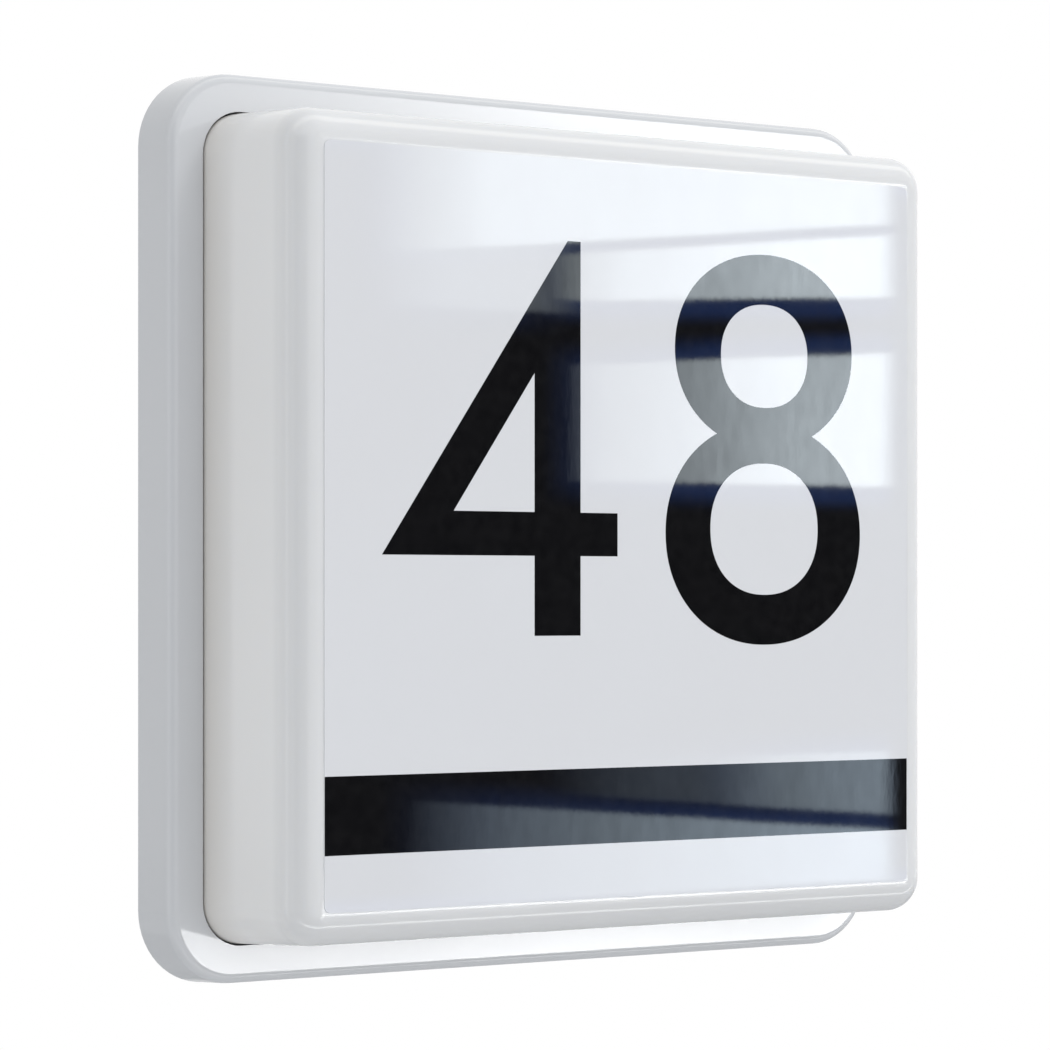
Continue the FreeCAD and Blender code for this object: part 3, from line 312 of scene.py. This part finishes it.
# The 4 in millimetres from the film's middle: its slanted edge runs from the bar's left end to the
# shoulder, and the hole's long edge is parallel to it.
four = {
    "stem": (-35.0, -18.6), "top": 83.0, "foot": -30.5, "bar": (-7.6, 4.9), "reach": (-87.5, -5.2),
    "shoulder": -23.2, "hole": 28.2,
}
slant = (four["top"] - four["bar"][0]) / (four["shoulder"] - four["reach"][0])
fourOutline = [
    (four["shoulder"], four["top"]), (four["stem"][1], four["top"]), (four["stem"][1], four["bar"][1]),
    (four["reach"][1], four["bar"][1]), (four["reach"][1], four["bar"][0]),
    (four["stem"][1], four["bar"][0]), (four["stem"][1], four["foot"]), (four["stem"][0], four["foot"]),
    (four["stem"][0], four["bar"][0]), (four["reach"][0], four["bar"][0]),
]
fourHole = [(four["stem"][0], four["bar"][1] + four["hole"] * slant), (four["stem"][0], four["bar"][1]),
            (four["stem"][0] - four["hole"], four["bar"][1])]
printPiece("digit_four", [np.array(o) * mm for o in (fourOutline, fourHole)])

# The 8: ovals given as middle x and y, half width, half height and power, in millimetres.
eight = {
    "middle": (50.0, 29.0), "upper": (50.1, 53.9, 34.1, 28.9, 2.1), "lower": (50.0, -0.45, 37.5, 33.15, 2.1),
    "upperHole": (50.0, 52.5, 16.7, 15.4, 2.2), "lowerHole": (50.0, 0.9, 20.7, 19.6, 2.2), "steps": 128,
    "farthest": 200.0, "halvings": 40,
}


# A rounded oval: |x| over its half width to a power, plus |y| over its half height to it, is 1.
def oval(x, y, halfWide, halfHigh, power, steps):
    turn = np.linspace(0, 2 * np.pi, steps, endpoint=False)
    c, s = np.cos(turn), np.sin(turn)
    reach = (np.abs(c / halfWide) ** power + np.abs(s / halfHigh) ** power) ** (-1 / power)
    return np.stack([x + reach * c, y + reach * s], 1)


# The farther of two ovals' edges along each ray from the waist, found by halving.
def joinedOvals(middle, ovals, steps):
    turn = np.linspace(0, 2 * np.pi, steps, endpoint=False)
    ray = np.stack([np.cos(turn), np.sin(turn)], 1)
    low, high = np.zeros(steps), np.full(steps, eight["farthest"])
    for _ in range(eight["halvings"]):
        reach = (low + high) / 2
        x, y = (np.array(middle) + ray * reach[:, None]).T
        inside = np.zeros(steps, bool)
        for ox, oy, wide, tall, power in ovals:
            inside |= np.abs((x - ox) / wide) ** power + np.abs((y - oy) / tall) ** power < 1
        low, high = np.where(inside, reach, low), np.where(inside, high, reach)
    return np.array(middle) + ray * low[:, None]


eightOutline = joinedOvals(eight["middle"], (eight["upper"], eight["lower"]), 2 * eight["steps"])
eightHoles = [oval(*eight[key], eight["steps"]) for key in ("upperHole", "lowerHole")]
printPiece("digit_eight", [o * mm for o in (eightOutline, *eightHoles)])

band = {"low": -90.75, "high": -68.9, "halfWide": 106.45}
bandOutline = [(-band["halfWide"], band["low"]), (band["halfWide"], band["low"]),
               (band["halfWide"], band["high"]), (-band["halfWide"], band["high"])]
printPiece("plain_band", [np.array(bandOutline) * mm])
print("print on the film")

# The leads' routes are those of part.py: across, up and out from the wall, in millimetres.
leads = {
    "live_lead": {
        "node": "wire_live", "slot": "brown_lead", "finish": brownLead, "thick": 1.8, "long": 199.9,
        "route": [(-10, -53.1, 7.1), (-10, -67.1, 7.1), (-22, -81, 3.5), (-48, -78, 3.5), (-70, -50, 3.5),
                  (-80, -14, 3.5), (-79, 16, 7.5), (-68, 31.0, 12.8), (-56, 31.8, 12.8), (-45, 31.8, 9.0)]},
    "neutral_lead": {
        "node": "wire_neutral", "slot": "blue_lead", "finish": blueLead, "thick": 1.8, "long": 232.4,
        "route": [(0, -53.1, 7.1), (0, -68.1, 7.1), (-10, -85, 3.5), (-36, -90, 3.5), (-62, -71, 3.5),
                  (-79, -36, 3.5), (-86, -2, 4.2), (-82, 24, 9.5), (-68, 35.9, 13.3), (-55, 36.2, 12.8),
                  (-44, 36.2, 9.0)]},
    "led_plus_lead": {
        "node": "wire_led_plus", "slot": "red_lead", "finish": redLead, "thick": 1.4, "long": 86.7,
        "route": [(45, 36.2, 8.8), (55, 36.3, 12.2), (67, 34.7, 14.2), (79, 24, 12), (81, 8, 10),
                  (75.5, 0.5, 13.5), (74.2, 0.6, 25), (74.2, 7.5, 27.7), (74.2, 13.5, 26.9)]},
    "led_minus_lead": {
        "node": "wire_led_minus", "slot": "black_lead", "finish": blackLead, "thick": 1.4, "long": 80.1,
        "route": [(45, 31.8, 8.8), (55, 31.9, 12.2), (66, 29.8, 14.1), (75.5, 19, 12), (77, 6, 10.5),
                  (73.5, -0.5, 13.5), (71.8, 0.2, 25), (71.8, 7.5, 27.7), (71.8, 13.5, 26.9)]},
}


# A lead: one smooth open NURBS line with the route's points as its control points, made round.
def leadPiece(name, lead):
    curve = bpy.data.curves.new(name, "CURVE")
    curve.dimensions = "3D"
    curve.bevel_depth = lead["thick"] / 2 * mm
    curve.bevel_resolution = 6
    curve.use_fill_caps = True
    curve.resolution_u = 12
    spline = curve.splines.new("NURBS")
    route = [(x * mm, -out * mm, up * mm) for x, up, out in lead["route"]]
    spline.points.add(len(route) - 1)
    for point, place in zip(spline.points, route):
        point.co = (*place, 1)
    spline.order_u = 3
    spline.use_endpoint_u = True
    curve.materials.append(lead["finish"])
    piece = linked(name, curve)
    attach(piece, "base")
    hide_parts(lead["node"])


for name, lead in leads.items():
    leadPiece(name, lead)
print("leads")


# A low round dome on a flat underside, one unit across each half: its height is 1 minus the distance
# from the middle squared, and a square grid is drawn round by x = u sqrt(1 - v^2 / 2) and
# y = v sqrt(1 - u^2 / 2).
def unitDome(steps):
    side = np.linspace(-1, 1, steps)
    u, v = np.meshgrid(side, side, indexing="ij")
    x, y = (u * np.sqrt(1 - v * v / 2)).ravel(), (v * np.sqrt(1 - u * u / 2)).ravel()
    top = np.stack([x, y, np.clip(1 - x * x - y * y, 0, 1)], 1)
    inner = ((np.abs(u) < 1) & (np.abs(v) < 1)).ravel()
    faces = gridFaces(steps, steps)
    under = np.arange(steps * steps)
    under[inner] = steps * steps + np.arange(inner.sum())
    points = np.concatenate([top, np.stack([x[inner], y[inner], np.zeros(inner.sum())], 1)])
    return points, np.concatenate([faces[:, ::-1], under[faces]])


# One piece of many such domes, at centres across and up, on a surface at some depth from the wall.
def domePiece(name, centres, depth, look, material):
    unit, faces = unitDome(look["steps"])
    points, joined = [], []
    for number, (x, z) in enumerate(centres):
        points.append(np.stack([x + unit[:, 0] * look["half"][0], -(depth + unit[:, 2] * look["rise"]),
                                z + unit[:, 1] * look["half"][1]], 1))
        joined.append(faces + number * len(unit))
    piece = meshPiece(name, np.concatenate(points) * mm, np.concatenate(joined), material)
    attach(piece, "base")


# The LEDs' places on their four boards, with a phosphor window each and solder at both ends.
leds = {
    "count": 11, "reach": 72.0, "rows": (-60.0, -20.0, 20.0, 60.0), "front": 24.0, "board": 23.2,
    "pad": 1.95, "window": {"half": (1.1, 1.1), "rise": 0.12, "steps": 9},
    "solder": {"half": (0.42, 1.15), "rise": 0.45, "steps": 7},
}
across = np.linspace(-leds["reach"], leds["reach"], leds["count"])
for number, up in enumerate(leds["rows"], 1):
    domePiece(f"led_windows_{number}", [(x, up) for x in across], leds["front"], leds["window"],
              phosphor)
    domePiece(f"led_solder_{number}", [(x + end * leds["pad"], up) for x in across for end in (-1, 1)],
              leds["board"], leds["solder"], solder)
print("LED windows and solder")

scene.view_settings.view_transform = "Standard"

view = {"place": (-0.6886, -0.9574, -0.0203), "turn": (90, 0, -35.953), "lens": 133.09, "shift": 0.0716,
        "nearest": 0.05}
camera = linked("camera", bpy.data.cameras.new("camera"))
scene.camera = camera
camera.location = view["place"]
camera.rotation_euler = [math.radians(angle) for angle in view["turn"]]
camera.data.lens = view["lens"]
camera.data.shift_y = view["shift"]
camera.data.clip_start = view["nearest"]

# The room's soft light: a level, and more of it toward the front, the top and the right. The camera,
# reflections and clear pieces see plain white instead.
room = {"level": 0.68, "toward": (0.09, -0.22, 0.14), "colour": (0.97, 0.985, 1.0, 1)}
world = bpy.data.worlds.new("studio")
scene.world = world
world.use_nodes = True
tree = world.node_tree
tree.nodes.clear()
way = addNode(tree, "ShaderNodeTexCoord").outputs["Generated"]
toward = addNode(tree, "ShaderNodeVectorMath", {"operation": "DOT_PRODUCT"}, i0=way, i1=room["toward"])
level = addNode(tree, "ShaderNodeMath", {"operation": "ADD"}, i0=toward.outputs["Value"], i1=room["level"])
soft = addNode(tree, "ShaderNodeBackground", Color=room["colour"], Strength=level.outputs[0])
white = addNode(tree, "ShaderNodeBackground", Color=(1, 1, 1, 1), Strength=1.0)
path = addNode(tree, "ShaderNodeLightPath")
seen = addNode(tree, "ShaderNodeMath", {"operation": "ADD"}, i0=path.outputs["Is Camera Ray"],
               i1=path.outputs["Is Glossy Ray"])
seen = addNode(tree, "ShaderNodeMath", {"operation": "ADD", "use_clamp": True}, i0=seen.outputs[0],
               i1=path.outputs["Is Transmission Ray"])
both = addNode(tree, "ShaderNodeMixShader", i0=seen.outputs[0], i1=soft.outputs[0], i2=white.outputs[0])
addNode(tree, "ShaderNodeOutputWorld", Surface=both.outputs[0])

key = {"place": (0.9, -1.1, 1.7), "side": 1.0, "power": 11}
keyData = bpy.data.lights.new("key", "AREA")
keyData.shape = "RECTANGLE"
keyData.size = keyData.size_y = key["side"]
keyData.energy = key["power"]
keyLamp = linked("key", keyData)
keyLamp.location = key["place"]
keyLamp.rotation_euler = (-Vector(key["place"])).to_track_quat("-Z", "Y").to_euler()
keyLamp.visible_camera = False
keyLamp.visible_glossy = False

# The floor keeps the object's shadow near it, and fades to the background's white farther out.
ground = {"height": -0.6, "half": 6, "points": 3, "fadeFrom": 0.5, "fadeTo": 1.9, "gloss": 0.1}
floorPaint = mouldedMaterial(
    "floor_paint", ((0.86, 0.86, 0.86), (0.84, 0.84, 0.84)), (0.6, 0.7), 2, 200, 0.0001)
tree, shader = floorPaint.node_tree, shaderOf(floorPaint)
shader.inputs["Specular IOR Level"].default_value = ground["gloss"]
away = addNode(tree, "ShaderNodeVectorMath", {"operation": "LENGTH"}, i0=stretched(tree, (1, 1, 0)))
fade = addNode(tree, "ShaderNodeMapRange", {"interpolation_type": "SMOOTHSTEP"},
               Value=away.outputs["Value"], From_Min=ground["fadeFrom"], From_Max=ground["fadeTo"]).outputs[0]
seen = addNode(tree, "ShaderNodeLightPath").outputs["Is Camera Ray"]
share = addNode(tree, "ShaderNodeMath", {"operation": "MULTIPLY"}, i0=fade, i1=seen).outputs[0]
blank = addNode(tree, "ShaderNodeEmission", Color=(1, 1, 1, 1), Strength=1.0)
surface = addNode(tree, "ShaderNodeMixShader", i0=share, i1=shader.outputs[0], i2=blank.outputs[0])
tree.links.new(surface.outputs[0], tree.nodes["Material Output"].inputs["Surface"])
side = np.linspace(-ground["half"], ground["half"], ground["points"])
x, y = np.meshgrid(side, side, indexing="ij")
floor = meshPiece("floor", np.stack([x.ravel(), y.ravel(), np.full(x.size, ground["height"])], 1),
                  gridFaces(ground["points"], ground["points"]), floorPaint)

# A card that only reflections see, off to the right: the bright and dark parts of a room. Its places
# are those of the film, scaled and moved to where the film mirrors them.
card = {"scale": 2.605, "right": 1.105, "up": 0.0326, "away": -1.5, "half": 0.20, "steps": 540,
        "dark": 0.02, "edge": 1.4, "rightEdge": 10, "rimOut": 4, "rimEdge": 9, "rimLeft": 8}

# Lit blocks of the card, in the film's millimetres: lower and upper edge at x = 50, how much each
# edge rises along x, and the brightness at some places along x. They end at "right", or at 99.
cardMiddle, cardRight = 50, 99
blocks = [
    {"low": 89.8, "high": 113, "rise": (0.10, 0), "bright": ((-90, 0), (-50, 4.8), (60, 5.8), (97, 5.8))},
    {"low": 62, "high": 100, "rise": (0, 0), "bright": ((-90, 0), (-65, 1.2), (-35, 1.2), (-15, 0))},
    {"low": 69.8, "high": 86.6, "rise": (0.055, 0.10),
     "bright": ((-38, 0), (0, 4.4), (60, 6.6), (97, 6.6))},
    {"low": 14.2, "high": 52.2, "rise": (0, 0.07),
     "bright": ((-24, 0), (-10, 1.6), (30, 3.8), (60, 5.9), (97, 6.0))},
    {"low": -82.0, "high": -66.5, "rise": (-0.08, 0),
     "bright": ((-30, 0), (0, 0.4), (32, 0.6), (55, 1.8), (97, 3.0))},
    {"low": -106, "high": -86.6, "rise": (0, -0.08),
     "bright": ((-80, 0), (-40, 1.4), (20, 2.6), (97, 4.2))},
    {"low": 110, "high": 210, "rise": (0, 0), "right": 180,
     "bright": ((-150, 3.0), (-100, 3.2), (0, 10.5), (110, 12.0))},
    {"low": -210, "high": -110, "rise": (0, 0), "right": 180,
     "bright": ((-150, 12), (-100, 12), (0, 15), (110, 14))},
]
# Blue round the blocks, grey in the film's upper blocks, cooler in its lower ones, white outside it.
tints = {"navy": [0.07, 0.20, 0.75], "grey": [0.89, 1.0, 1.07], "cool": [0.82, 1.0, 1.18],
         "coolBelow": -0.06, "whiteBeyond": 0.11}


# A step from 0 to 1 as t goes from minus half the width to plus half of it: 3t^2 - 2t^3.
def softStep(t, width):
    t = np.clip(t / width + 0.5, 0, 1)
    return t * t * (3 - 2 * t)


# The brightest block at each place: a block is its brightness along x times a soft step at each edge.
# The rim is the same with its edges farther out and softer.
def cardGlow(x, z, out, left, width):
    glow = np.zeros_like(x)
    for block in blocks:
        low = block["low"] + block["rise"][0] * (x - cardMiddle) - out
        high = block["high"] + block["rise"][1] * (x - cardMiddle) + out
        places, levels = zip(*block["bright"])
        end = block.get("right", cardRight)
        part = np.interp(x, np.array(places) - left, levels) * softStep(end - x, card["rightEdge"])
        glow = np.maximum(glow, part * softStep(z - low, width) * softStep(high - z, width))
    return glow


side = np.linspace(-card["half"], card["half"], card["steps"])
x, z = (a.ravel() for a in np.meshgrid(side, side, indexing="ij"))
glow = cardGlow(x / mm, z / mm, 0, 0, card["edge"])[:, None]
rim = cardGlow(x / mm, z / mm, card["rimOut"], card["rimLeft"], card["rimEdge"])[:, None]
outer = np.abs(z[:, None]) > tints["whiteBeyond"]
inner = np.where(z[:, None] < tints["coolBelow"], tints["cool"], tints["grey"])
tones = card["dark"] + glow * np.where(outer, 1.0, inner)
rimShare = np.clip(rim / 3, 0, 1) * (1 - np.clip(glow / 2, 0, 1)) * (1 - outer)
tones = tones + rimShare * np.array(tints["navy"])

# The card's light has fine upright streaks, so that what it lights isn't even.
cardLight = bpy.data.materials.new("card_light")
cardLight.use_nodes = True
tree = cardLight.node_tree
tree.nodes.clear()
tone = addNode(tree, "ShaderNodeAttribute", {"attribute_name": "glow"}).outputs["Color"]
flicker = spread(tree, noise(tree, stretched(tree, (190, 1, 45)), 1.0), 0.72, 1.28)
light = addNode(tree, "ShaderNodeEmission", Color=tone, Strength=flicker)
addNode(tree, "ShaderNodeOutputMaterial", Surface=light.outputs[0])
points = np.stack([card["scale"] * x + card["right"], np.full(x.size, card["away"]),
                   card["scale"] * z + card["up"]], 1)
mirrorCard = meshPiece("mirror_card", points, gridFaces(card["steps"], card["steps"]), cardLight)
attribute = mirrorCard.data.attributes.new("glow", "FLOAT_COLOR", "POINT")
attribute.data.foreach_set("color", np.concatenate([tones, np.ones((len(tones), 1))], 1).ravel())


# A plain glowing card: one corner, its two sides, its colour and its strength.
def glossCard(name, corner, across, along, colour, strength):
    material, tree, shader = newMaterial(name, (0, 0, 0), 1.0)
    shader.inputs["Emission Color"].default_value = (*colour, 1)
    shader.inputs["Emission Strength"].default_value = strength
    steps = np.array([(0, 0), (0, 1), (1, 0), (1, 1)], float)
    points = np.array(corner) + steps[:, :1] * np.array(across) + steps[:, 1:] * np.array(along)
    return meshPiece(name, points, gridFaces(2, 2), material)


# Cards that only reflections see: a darker one behind the camera, one under the object, and bright
# strips overhead, below and to the left that draw the lines along the rounded edges.
cards = [
    mirrorCard,
    glossCard("dusk_card", (-1.35, -0.55, -0.7), (0.75, -0.75, 0), (0, 0, 1.4), (0.9, 0.95, 1.0), 0.2),
    glossCard("ground_card", (-0.6, -1.2, -0.5), (2.2, 0, 0), (0, 2.1, 0), (0.93, 0.96, 1.0), 0.35),
    glossCard("low_strip", (-0.6, -0.42, -0.49), (2.2, 0, 0), (0, 0.06, 0), (1, 1, 1), 5.0),
    glossCard("top_strip", (-1.0, -0.34, 0.9), (3.0, 0, 0), (0, 0.3, 0), (1.0, 0.97, 0.90), 2.4),
    glossCard("left_strip", (-1.1, 0.0, -0.6), (0.0, 0.12, 0), (0, 0, 1.7), (1, 1, 1), 2.0),
]
for one in cards:
    one.visible_camera = False
    one.visible_diffuse = False
    one.visible_shadow = False
    one.visible_transmission = False
print("stage and light")

bpy.context.view_layer.update()
